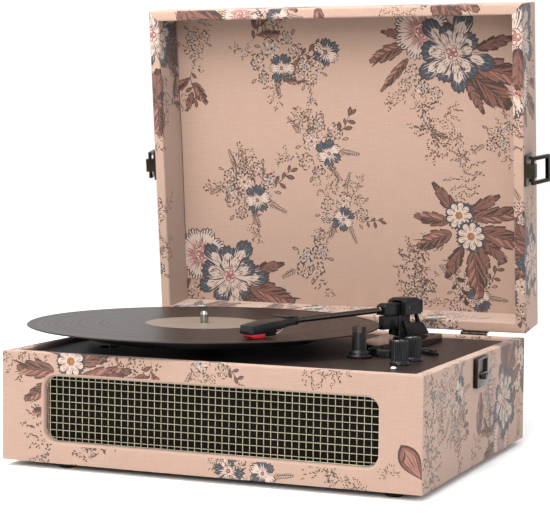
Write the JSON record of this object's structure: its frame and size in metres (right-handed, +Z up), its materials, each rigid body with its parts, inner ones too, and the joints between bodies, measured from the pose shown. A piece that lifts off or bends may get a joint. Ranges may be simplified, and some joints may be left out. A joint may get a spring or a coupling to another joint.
{
  "type": "suitcase record player",
  "caption": "Portable record player in a cloth-covered case with an open hinged lid, speaker grille, belt-driven platter, tonearm, control knobs and side latches.",
  "frame": {"origin": "centre of the bounding box's footprint, on the surface that the feet stand on", "axes": "+X to the right seen from the grille side, -Y towards the grille (front), +Z up"},
  "size_m": [0.3874, 0.334, 0.3874],
  "materials": {
    "printed_cloth": "matte",
    "lining": "matte",
    "deck_vinyl": "satin",
    "black_plastic": "satin",
    "gloss_plastic": "gloss",
    "rubber": "matte",
    "grille_metal": "satin",
    "antique_bronze": "satin",
    "steel": "polished",
    "gunmetal": "satin",
    "felt": "matte",
    "red_plastic": "gloss",
    "circuit_board": "satin",
    "paper_cone": "matte",
    "lamp_lens": "gloss"
  },
  "bodies": {
    "case": {"base_front_board": "printed_cloth", "base_rear_board": "printed_cloth", "base_left_board": "printed_cloth", "base_right_board": "printed_cloth", "base_bottom_board": "lining", "foot_front_left": "rubber", "foot_rear_left": "rubber", "foot_front_right": "rubber", "foot_rear_right": "rubber", "rear_socket_plate": "black_plastic", "hinge_left_base_leaf": "antique_bronze", "hinge_left_pin": "steel", "hinge_right_base_leaf": "antique_bronze", "hinge_right_pin": "steel", "latch_left_catch": "antique_bronze", "latch_right_catch": "antique_bronze", "speaker_grille": "grille_metal", "grille_cloth": "lining", "speaker_left": "paper_cone", "speaker_right": "paper_cone", "amplifier_board": "circuit_board", "deck_plate": "deck_vinyl", "platter_bearing": "steel", "drive_belt": "rubber", "drive_motor": "steel", "tonearm_plinth": "gloss_plastic", "tonearm_rest_post": "black_plastic", "tonearm_pedestal": "black_plastic", "volume_potentiometer": "steel", "pitch_potentiometer": "steel", "indicator_lamp": "lamp_lens"},
    "lid": {"lid_front_board": "printed_cloth", "lid_rear_board": "printed_cloth", "lid_left_board": "printed_cloth", "lid_right_board": "printed_cloth", "lid_top_board": "printed_cloth", "hinge_left_lid_leaf": "antique_bronze", "hinge_right_lid_leaf": "antique_bronze", "latch_left_plate": "antique_bronze", "latch_right_plate": "antique_bronze"},
    "latch_left_loop": {"latch_left_loop": "antique_bronze"},
    "latch_right_loop": {"latch_right_loop": "antique_bronze"},
    "platter": {"platter": "black_plastic", "slip_mat": "felt", "spindle": "steel"},
    "motor_pulley": {"motor_pulley": "steel"},
    "tonearm_carriage": {"tonearm_housing": "black_plastic", "tonearm_pivot_pin": "gunmetal", "tonearm_front_bracket": "black_plastic"},
    "tonearm_wand": {"tonearm_holder": "black_plastic", "tonearm_tube": "gunmetal", "headshell": "black_plastic", "headshell_finger_lift": "black_plastic", "cartridge": "gloss_plastic", "stylus_holder": "red_plastic"},
    "cue_lever": {"cue_lever": "black_plastic"},
    "lift_bar": {"tonearm_lift_bar": "black_plastic"},
    "volume_knob": {"volume_knob": "black_plastic"},
    "pitch_knob": {"pitch_knob": "black_plastic"},
    "speed_selector": {"speed_selector": "black_plastic"}
  },
  "joints": [
    {"name": "lid_hinge", "type": "hinge", "parent": "case", "child": "lid", "pos_m": [0, 0.12301, 0.0943], "axis": [1, 0, 0], "range_deg": [0, 83.68]},
    {"name": "latch_right_swing", "type": "hinge", "parent": "lid", "child": "latch_right_loop", "pos_m": [0.18465, 0.11111, 0.23988], "axis": [0, 0.1101, -0.9939], "range_deg": [0, 164.3]},
    {"name": "latch_left_swing", "type": "hinge", "parent": "lid", "child": "latch_left_loop", "pos_m": [-0.18465, 0.11111, 0.23988], "axis": [0, -0.1101, 0.9939], "range_deg": [0, 164.3]},
    {"name": "platter_spin", "type": "hinge", "parent": "case", "child": "platter", "pos_m": [-0.0645, -0.02499, 0.0938], "axis": [0, 0, 1], "continuous": true},
    {"name": "motor_spin", "type": "hinge", "parent": "case", "child": "motor_pulley", "pos_m": [-0.1239, -0.08439, 0.0938], "axis": [0, 0, 1], "continuous": true},
    {"name": "tonearm_swing", "type": "hinge", "parent": "case", "child": "tonearm_carriage", "pos_m": [0.0862, 0.05031, 0.1158], "axis": [0, 0, 1], "range_deg": [-25, 22.9]},
    {"name": "tonearm_lift", "type": "hinge", "parent": "tonearm_carriage", "child": "tonearm_wand", "pos_m": [0.08692, 0.05218, 0.1225], "axis": [0.9323, -0.3616, 0], "range_deg": [-6, 0]},
    {"name": "cue_lever_tip", "type": "hinge", "parent": "case", "child": "cue_lever", "pos_m": [0.0946, 0.04598, 0.101], "axis": [0.9323, -0.3616, 0], "range_deg": [-45, 0]},
    {"name": "lift_bar_rise", "type": "slide", "parent": "tonearm_carriage", "child": "lift_bar", "axis": [0, 0, 1], "range_m": [0, 0.0022]},
    {"name": "volume_turn", "type": "hinge", "parent": "case", "child": "volume_knob", "pos_m": [0.1332, -0.08999, 0.0938], "axis": [0, 0, 1], "range_deg": [-150, 150]},
    {"name": "pitch_turn", "type": "hinge", "parent": "case", "child": "pitch_knob", "pos_m": [0.1344, -0.06099, 0.0938], "axis": [0, 0, 1], "range_deg": [-150, 150]},
    {"name": "speed_select", "type": "hinge", "parent": "case", "child": "speed_selector", "pos_m": [0.124, -0.00699, 0.0938], "axis": [0, 0, 1], "range_deg": [-20, 20]}
  ],
  "couplings": [
    {"joint": "motor_spin", "follows": "platter_spin", "ratio": 10.833},
    {"joint": "cue_lever_tip", "follows": "tonearm_lift", "ratio": 7.5},
    {"joint": "lift_bar_rise", "follows": "tonearm_lift", "m_per_rad": -0.0185}
  ]
}
